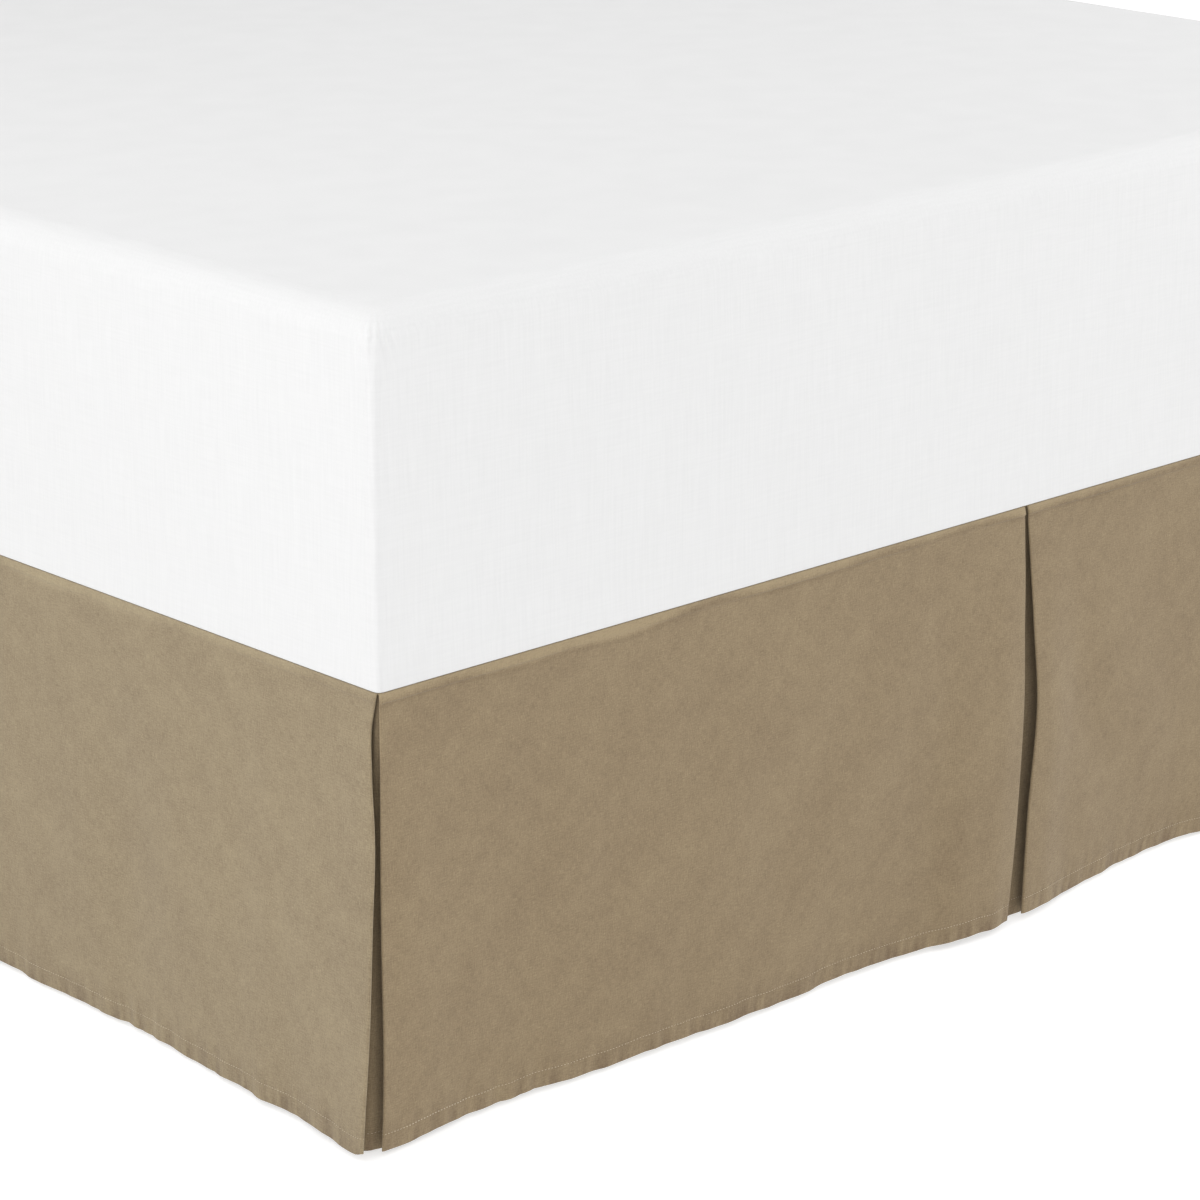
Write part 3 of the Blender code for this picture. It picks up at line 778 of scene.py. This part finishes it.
def corner_seams(points, low, high):
    """The relief of the sheet's puckered seams down its corners, and of the gathers at their tops."""
    relief = np.zeros(len(points))
    below_top = high[2] - points[:, 2]
    for sx, sy in ((-1, -1), (1, -1), (-1, 1), (1, 1)):
        centre = np.where((sx, sy) > np.zeros(2), high[:2] - MATTRESS_ROUND, low[:2] + MATTRESS_ROUND)
        u, w = ((points[:, :2] - centre) * (sx, sy)).T
        angle = np.arctan2(np.maximum(w, 0), np.maximum(u, TINY))
        near = (u > -CORNER_REACH) & (w > -CORNER_REACH)
        round_it = MATTRESS_ROUND * (angle - math.pi / 4) + np.maximum(-u, 0) - np.maximum(-w, 0)
        puckers = SEAM_PUCKER_DEPTH * np.sin(2 * math.pi * (below_top + round_it) / SEAM_PUCKER)
        seam = (SEAM_HEIGHT + puckers) * np.exp(-(((round_it - SEAM_PLACE) / SEAM_WIDTH) ** 2))
        fan = 1 + np.maximum(below_top - GATHER_TOP, 0) / GATHER_FALL
        gathers = GATHER_HEIGHT * np.sin(2 * math.pi * round_it / (GATHER_LENGTH * fan))
        gathers = gathers * np.exp(-((round_it / GATHER_SPREAD) ** 2))
        gathers = gathers * np.exp(-(((below_top - GATHER_TOP) / GATHER_FALL) ** 2))
        relief = relief + near * (seam * ease(0, GATHER_TOP, below_top) + gathers)
    return relief


def mattress(cover):
    low, high = (np.array(corner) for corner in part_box("mattress"))
    low[2] = DROP_TOP + MATTRESS_RISE
    points, normals, faces = rounded_block(
        low, high, MATTRESS_ROUND, MATTRESS_LOW_EDGE, MATTRESS_ROUND,
        MATTRESS_STEP, EDGE_ZONE, EDGE_ZONE_STEP, (CORNER_LINES, EDGE_LINES),
    )
    power = blend(SQUARE_POWER, ROUND_POWER, ease(high[2] - SQUARE_BELOW, high[2], points[:, 2]))
    middle, half = ((low + high) / 2)[:2], ((high - low) / 2)[:2]
    points = squared(points, middle, half, MATTRESS_ROUND, power)
    x, y, z = points.T
    up = z - low[2]
    up_share = up / (high[2] - low[2])
    level = abs(normals[:, 2])
    free = ease(0, FREE_FROM, up)
    relief = free * swell_height(x + y, up) * (1 - (1 - TOP_SHARE) * level)
    relief += BELLY * np.sin(math.pi * np.clip(up_share, 0, 1)) * (1 - level)
    for name, rows in WRINKLES.items():
        edge = EDGES[name]
        along = (points[:, :2] - edge.corner) @ edge.run
        facing = np.clip(normals[:, :2] @ edge.facing, 0, 1)
        for row in rows:
            relief += facing * wrinkle_height(Wrinkle(*row), along, up)
    relief += corner_seams(points, low, high) * (1 - level)
    points = points + normals * (relief - BELLY)[:, None] * free[:, None]
    narrower = 1 - MATTRESS_LEAN * up_share[:, None] / half
    points[:, :2] = middle + (points[:, :2] - middle) * narrower
    made = add_object("mattress_cover", points, faces, cover)
    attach(made, "root")
    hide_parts("mattress")


def deck(cloth):
    """The flat sheet that the drops are sewn to, with a hem at its head end."""
    half_w = HALF_W - DECK_INSET
    foot, head = FOOT_Y + DECK_INSET, FOOT_Y + DECK_L
    xs = np.linspace(-half_w, half_w, DECK_COLUMNS)
    unhemmed = np.linspace(foot, head - DECK_HEM - MM, DECK_ROWS)
    ys = np.concatenate([unhemmed, [head - DECK_HEM, head]])
    across, along = np.meshgrid(xs, ys)
    rise = DROP_TOP + DECK_RISE
    top = np.stack([across, along, np.full_like(across, rise)], axis=2)
    hemmed = (along > head - DECK_HEM - MM / 2) * DECK_CLOTH
    under = top - np.stack([0 * across, 0 * across, DECK_CLOTH + hemmed], axis=2)
    flat = np.stack([across, along], axis=2)
    made = two_faced_sheet("skirt_deck_cloth", top, under, flat, cloth)
    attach(made, "root")
    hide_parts("skirt_deck")


# The base, a boxed frame covered in ticking, with a sewn welt beside its top and bottom edges. Between
# the welts the cover is slack, by this share of the sheet's swells.
BASE_ROUND = 14 * MM
BASE_EDGE = 5 * MM
BASE_STEP = 30 * MM
BASE_EDGE_ZONE = 12 * MM
BASE_EDGE_STEP = 1.3 * MM
WELT_IN = 9 * MM
WELT_WIDTH = 1.6 * MM
WELT_HEIGHT = 1.3 * MM
BASE_BELLY = 1 * MM
BASE_SLACK = 0.4
SLACK_FROM = 27 * MM

# A leg's outline: shares of its height, and its radius in mm there, with a collar under the base.
LEG_OUTLINE = (
    (0, 20.5), (0.004, 21.6), (0.012, 22), (0.25, 23.6), (0.5, 25.4), (0.75, 27.2), (0.86, 28.2),
    (0.872, 27.2), (0.88, 26.8), (0.888, 27.2), (0.9, 29.2), (0.912, 29.8), (0.99, 30), (0.998, 29.6),
    (1, 28.8),
)
LEG_SIDES = 48
LEGS = 6


def base(cover):
    low, high = (np.array(corner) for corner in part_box("bed_base"))
    points, normals, faces = rounded_block(
        low, high, BASE_ROUND, BASE_EDGE, BASE_EDGE,
        BASE_STEP, BASE_EDGE_ZONE, BASE_EDGE_STEP, (EDGE_LINES, EDGE_LINES),
    )
    upright = np.linalg.norm(normals[:, :2], axis=1)
    from_edge = np.minimum(points[:, 2] - low[2], high[2] - points[:, 2])
    welt = WELT_HEIGHT * np.exp(-(((from_edge - WELT_IN) / WELT_WIDTH) ** 2))
    belly = BASE_BELLY * np.sin(math.pi * (points[:, 2] - low[2]) / (high[2] - low[2]))
    swells = swell_height(points[:, 0] - points[:, 1], points[:, 2])
    slack = BASE_SLACK * swells * ease(0, SLACK_FROM, from_edge)
    points = points + normals * (upright * (welt + belly + slack))[:, None]
    made = add_object("bed_base_cover", points, faces, cover)
    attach(made, "root")
    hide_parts("bed_base")


def leg(node, wood):
    """A turned leg, closed at both ends."""
    low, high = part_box(node)
    x, y = (low.x + high.x) / 2, (low.y + high.y) / 2
    angle = np.linspace(0, 2 * math.pi, LEG_SIDES, endpoint=False)
    ring = np.stack([np.cos(angle), np.sin(angle)], axis=1)
    points = []
    for share, radius in LEG_OUTLINE:
        z = blend(low.z, high.z, share)
        points += [(x + radius * MM * c, y + radius * MM * s, z) for c, s in ring]
    faces = []
    for level in range(len(LEG_OUTLINE) - 1):
        for k in range(LEG_SIDES):
            this, after = level * LEG_SIDES + k, level * LEG_SIDES + (k + 1) % LEG_SIDES
            faces.append((this, after, after + LEG_SIDES, this + LEG_SIDES))
    last = len(points) - LEG_SIDES
    faces += [tuple(range(LEG_SIDES)), tuple(range(last, len(points)))]
    made = add_object(f"{node}_turned", points, faces, wood)
    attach(made, "root")
    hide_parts(node)


# ---- Materials. Their colours are linear red, green and blue.

THREAD = (0.6, 0.52, 0.4)
WHITE = (0.675, 0.675, 0.675)
OFF_WHITE = (0.72, 0.69, 0.62)
TICKING = (0.66, 0.635, 0.58)
WOOD = (0.085, 0.045, 0.024)
FLOOR = (0.55, 0.55, 0.55)

# The skirt's cloth: its colour, and what its top edge, the line below its seam allowance and its hem add
# to its tone: a painted highlight along the top edge, and painted shade along that line and towards
# the hem.
Cut = namedtuple("Cut", "name color top seam hem")
SIDE_CLOTH = Cut("skirt_cloth", (0.262, 0.207, 0.13), 0.26, 0, -0.18)
# The foot drop's cloth is a darker, redder copy of the same cloth: painted shade for the foot face.
SHADED_FOOT_CLOTH = Cut("skirt_cloth_foot_shaded", (0.243, 0.183, 0.11), 0.38, -0.19, -0.11)

# How far these tones reach: the painted shade above the hem, the painted highlight below the top
# edge, and the painted shade to both sides of the line below the seam allowance, and how much the last
# two sway.
HEM_SHADE_REACH = 30 * MM
TOP_HIGHLIGHT_REACH = 8 * MM
SEAM_SHADE_AT = 6.5 * MM
SEAM_SHADE = 4.5 * MM
SEAM_SWAY = 22 * MM


class Look:
    """A material: its Principled shader, and the patterns that feed it, whose sizes are in mm."""

    def __init__(self, name, roughness, **inputs):
        self.material = bpy.data.materials.new(name)
        self.material.use_nodes = True
        self.tree = self.material.node_tree
        self.shader = self.tree.nodes["Principled BSDF"]
        self.patterns = {"tone": [], "height": [], "roughness": []}
        for socket, value in {"Roughness": roughness, **inputs}.items():
            self.shader.inputs[socket.replace("_", " ")].default_value = value

    def node(self, kind, settings=(), **inputs):
        """A node with these settings, whose inputs take values or other nodes' outputs."""
        made = self.tree.nodes.new(kind)
        for name, value in dict(settings).items():
            setattr(made, name, value)
        for socket, value in inputs.items():
            self.feed(made.inputs[socket], value)
        return made.outputs[0]

    def feed(self, socket, value):
        if isinstance(value, bpy.types.NodeSocket):
            self.tree.links.new(value, socket)
        else:
            socket.default_value = value

    def math(self, operation, *values):
        made = self.tree.nodes.new("ShaderNodeMath")
        made.operation = operation
        for socket, value in zip(made.inputs, values):
            self.feed(socket, value)
        return made.outputs[0]

    def flat(self):
        """Where the cloth lay when it was cut, in metres: along it, and up it."""
        return self.node("ShaderNodeUVMap", {"uv_map": "flat"})

    def place(self):
        return self.tree.nodes.new("ShaderNodeTexCoord").outputs["Object"]

    def axes(self, place):
        """The parts of a place along its axes."""
        split = self.tree.nodes.new("ShaderNodeSeparateXYZ")
        self.feed(split.inputs[0], place)
        return list(split.outputs)

    def above(self, value, level):
        """How far a value lies above a level, or else 0."""
        return self.math("MAXIMUM", self.math("SUBTRACT", value, level), 0)

    def fade(self, distance, reach):
        """1 at distance 0, falling evenly to 0 at this reach."""
        return self.math("MAXIMUM", self.math("MULTIPLY_ADD", distance, -1 / reach, 1), 0)

    def noise(self, place, *sizes, detail=0, start=0, lean=0):
        """Noise about 0, with grains of these sizes along two axes of a flat place or three of any.
        The grains are turned by `lean` degrees."""
        scale = [size * MM for size in sizes] + [1] * (3 - len(sizes))
        turned = (0, 0, math.radians(lean))
        scaled = self.node(
            "ShaderNodeMapping", {"vector_type": "TEXTURE"}, Vector=place, Location=[start] * 3,
            Rotation=turned, Scale=scale,
        )
        axes = {"noise_dimensions": f"{len(sizes)}D"}
        value = self.node("ShaderNodeTexNoise", axes, Vector=scaled, Scale=1, Detail=detail)
        return self.math("SUBTRACT", value, 0.5)

    def weave(self, place, pitch):
        """A plain weave's over and under, from -1 to 1."""
        turn = math.pi / (pitch * MM)
        threads = [self.math("SINE", self.math("MULTIPLY", axis, turn)) for axis in self.axes(place)[:2]]
        return self.math("MULTIPLY", *threads)

    def add(self, pattern, **amounts):
        """Adds a pattern, by its amounts, to the tone, to the height in mm or to the roughness."""
        for quantity, amount in amounts.items():
            self.patterns[quantity].append((pattern, amount))

    def total(self, quantity):
        """The sum of the patterns that were added to a quantity."""
        result = 0
        for pattern, amount in self.patterns[quantity]:
            result = self.math("MULTIPLY_ADD", pattern, amount, result)
        return result

    def paint(self, color, spread, warmth=0):
        """Feeds the shader from the patterns, and gives the material. It has this colour where the
        patterns' tones add up to 0, and goes darker and lighter by up to `spread` of it. Darker parts are
        redder by `warmth`."""
        mixed = self.tree.nodes.new("ShaderNodeMix")
        mixed.data_type = "RGBA"
        self.feed(mixed.inputs[0], self.math("ADD", self.total("tone"), 0.5))
        spreads = (spread - warmth, spread, spread)
        for index, sign in ((6, -1), (7, 1)):
            tone = [part * (1 + sign * share) for part, share in zip(color, spreads)]
            mixed.inputs[index].default_value = (*tone, 1)
        self.feed(self.shader.inputs["Base Color"], mixed.outputs[2])
        rough = self.shader.inputs["Roughness"]
        if self.patterns["roughness"]:
            self.feed(rough, self.math("ADD", self.total("roughness"), rough.default_value))
        bump = self.node("ShaderNodeBump", Height=self.total("height"), Distance=MM)
        self.feed(self.shader.inputs["Normal"], bump)
        return self.material


def khaki_cloth(cut):
    """A matt plain weave of uneven yarn, brushed by its washing. It has a painted highlight along its top
    edge, where the seam ridge catches light, and painted shade below its seam allowance and towards its
    hem, with painted light and shade in streaks over its creases there."""
    look = Look(cut.name, 0.88, Sheen_Weight=0.12, Sheen_Roughness=0.45, Specular_IOR_Level=0.25)
    flat = look.flat()
    up = look.axes(flat)[1]
    grain = look.noise(flat, 1.4, 1.4, detail=1, start=1)
    look.add(look.weave(flat, 0.36), tone=0.05, height=0.03)
    look.add(look.noise(flat, 0.9, 7, start=3), tone=0.3, height=0.05)
    look.add(look.noise(flat, 7, 0.9, start=7), tone=0.3, height=0.05)
    look.add(grain, tone=0.48, height=0.08, roughness=0.15)
    look.add(look.above(grain, 0.2), tone=1.1)
    look.add(look.noise(flat, 17, 17, detail=2, start=4), tone=0.28)
    look.add(look.noise(flat, 150, 55, detail=1, start=2, lean=38), tone=0.2)

    # Painted shade towards the hem, and painted light and shade in streaks for its creases, which are
    # also bumped.
    by_hem = look.fade(up, HEM_SHADE_REACH)
    crease_shade_and_bumps = look.noise(flat, 8, 70, detail=1, start=5)
    look.add(look.math("MULTIPLY", crease_shade_and_bumps, by_hem), tone=0.9, height=0.8)
    look.add(by_hem, tone=cut.hem)

    # A painted highlight along the top edge, where the seam ridge catches light, and painted shade along
    # the line below the seam allowance.
    sway = look.noise(flat, 190, 190, detail=1, start=6)
    below_top = look.math("SUBTRACT", DROP, look.math("MULTIPLY_ADD", sway, SEAM_SWAY, up))
    off_seam = look.math("ABSOLUTE", look.math("SUBTRACT", below_top, SEAM_SHADE_AT))
    look.add(look.math("MINIMUM", look.fade(below_top, TOP_HIGHLIGHT_REACH), 1), tone=cut.top)
    look.add(look.fade(off_seam, SEAM_SHADE), tone=cut.seam)
    return look.paint(cut.color, spread=0.4, warmth=0.05)


def sewing_thread():
    look = Look("thread", 0.6, Sheen_Weight=0.2, Sheen_Roughness=0.4)
    look.add(look.noise(look.place(), 0.4, 0.4, 0.4), tone=0.8, height=0.1)
    return look.paint(THREAD, spread=0.25)


def sheeting():
    """Smooth white percale, a little rumpled."""
    look = Look("mattress_cover", 0.75, Sheen_Weight=0.05, Sheen_Roughness=0.4, Specular_IOR_Level=0.3)
    place = look.place()
    look.add(look.noise(place, 1.6, 1.6, 40, start=3), tone=0.4, height=0.03)
    look.add(look.noise(place, 40, 40, 1.6, start=5), tone=0.3, height=0.03)
    look.add(look.noise(place, 22, 22, 30, detail=1, start=2), tone=0.1, height=0.22)
    return look.paint(WHITE, spread=0.06)


def deck_sheeting():
    """Thin off-white plain weave."""
    look = Look("deck_cloth", 0.85, Sheen_Weight=0.1)
    flat = look.flat()
    look.add(look.weave(flat, 0.5), tone=0.1, height=0.03)
    look.add(look.noise(flat, 0.8, 20, start=3), tone=0.4, height=0.08)
    look.add(look.noise(flat, 20, 0.8, start=7), tone=0.4, height=0.08)
    look.add(look.noise(flat, 25, 25, detail=2, start=4), tone=0.2, height=0.3)
    return look.paint(OFF_WHITE, spread=0.15)


def ticking():
    """Pale twill: its fine ribs run slanting."""
    look = Look("base_cloth", 0.85, Sheen_Weight=0.1)
    place = look.place()
    x, y, z = look.axes(place)
    slanted = look.math("ADD", look.math("ADD", x, y), z)
    sway = look.noise(place, 12, 12, 12, start=6)
    rib = look.math("SINE", look.math("MULTIPLY_ADD", slanted, 2 * math.pi / (1.5 * MM), sway))
    look.add(rib, tone=0.08, height=0.05)
    look.add(look.noise(place, 1, 1, 18, start=3), tone=0.35, height=0.06)
    look.add(look.noise(place, 18, 18, 1, start=5), tone=0.35, height=0.06)
    look.add(look.noise(place, 40, 40, 40, detail=2, start=2), tone=0.2, height=0.3)
    return look.paint(TICKING, spread=0.15)


def stained_wood():
    """Dark stained wood with its grain running down, under a satin coat."""
    look = Look("leg_wood", 0.45, Coat_Weight=0.35, Coat_Roughness=0.28)
    place = look.place()
    waver = look.noise(place, 16, 16, 260, detail=2, start=2)
    fibre = look.noise(place, 1.1, 1.1, 60, detail=2, start=5)
    pores = look.above(look.noise(place, 0.5, 0.5, 9, start=8), 0.12)
    look.add(look.math("SINE", look.math("MULTIPLY", waver, 70)), tone=0.22)
    look.add(fibre, tone=0.7, height=0.05, roughness=0.2)
    look.add(pores, tone=-2.5, height=-0.5, roughness=0.8)
    return look.paint(WOOD, spread=0.55)


# ---- The stage: floor, light and camera.

# The camera stands this far from the bed's left foot corner, and looks down and turns by these degrees.
CAMERA_FROM_CORNER = (-1.955, -2.342)
CAMERA_HEIGHT = 1.431
CAMERA_DOWN = 17.7
CAMERA_TURN = -43.11
LENS = 123.7

# The floor glows a little, so it is white and its shadows are faint. The lights are square, all of the
# same size and as far from the point that they aim at. Azimuth and elevation are in degrees, power in
# watts.
FLOOR_SIZE = 60
FLOOR_GLOW = 0.58
WORLD_LIGHT = 0.8
LIGHT_AIM = (-0.5, -0.8, 0.35)
LIGHT_DISTANCE = 4
LIGHT_SIZE = 2.2
Lamp = namedtuple("Lamp", "name azimuth elevation power")
LAMPS = (
    Lamp("left_high", -115, 50, 37),
    Lamp("left_back", -130, 22, 8),
    Lamp("front", -55, 22, 36),
    Lamp("right_front", 45, 22, 17),
    Lamp("right", 75, 22, 40),
    Lamp("above", 0, 88, 12),
)


def camera():
    data = bpy.data.cameras.new("camera")
    data.lens = LENS
    made = link("camera", data)
    x, y = CAMERA_FROM_CORNER
    made.location = (x - HALF_W, y + FOOT_Y, CAMERA_HEIGHT)
    made.rotation_euler = (math.radians(90 - CAMERA_DOWN), 0, math.radians(CAMERA_TURN))
    bpy.context.scene.camera = made


def light(lamp):
    data = bpy.data.lights.new(lamp.name, "AREA")
    data.size = LIGHT_SIZE
    data.energy = lamp.power
    azimuth, elevation = math.radians(lamp.azimuth), math.radians(lamp.elevation)
    away = Vector((math.sin(azimuth), -math.cos(azimuth), math.tan(elevation))).normalized()
    made = link(lamp.name, data)
    made.location = Vector(LIGHT_AIM) + away * LIGHT_DISTANCE
    made.rotation_euler = away.to_track_quat("Z", "Y").to_euler()


def stage():
    world = bpy.data.worlds.new("studio")
    world.use_nodes = True
    background = world.node_tree.nodes["Background"].inputs
    background["Color"].default_value = (1, 1, 1, 1)
    background["Strength"].default_value = WORLD_LIGHT
    bpy.context.scene.world = world
    bpy.context.scene.view_settings.view_transform = "Standard"
    glow = {"Emission_Color": (1, 1, 1, 1), "Emission_Strength": FLOOR_GLOW}
    white = Look("floor", 0.9, Base_Color=(*FLOOR, 1), **glow).material
    half = FLOOR_SIZE / 2
    corners = [(-half, -half, 0), (half, -half, 0), (half, half, 0), (-half, half, 0)]
    floor = add_object("floor", corners, [(0, 1, 2, 3)], white)
    for lamp in LAMPS:
        light(lamp)


def main():
    cloth = khaki_cloth(SIDE_CLOTH)
    thread = sewing_thread()
    drop("skirt_side_left", side_cloth("left"), 1, cloth, thread, end_hemmed=True)
    # The foot drop takes the darker copy of the cloth, painted shade for its face.
    drop("skirt_foot", foot_cloth(), -1, khaki_cloth(SHADED_FOOT_CLOTH), thread, end_hemmed=False)
    drop("skirt_side_right", side_cloth("right"), -1, cloth, thread, end_hemmed=True)
    deck(deck_sheeting())
    mattress(sheeting())
    base(ticking())
    wood = stained_wood()
    for number in range(1, LEGS + 1):
        leg(f"base_leg_{number}", wood)
    camera()
    stage()


main()
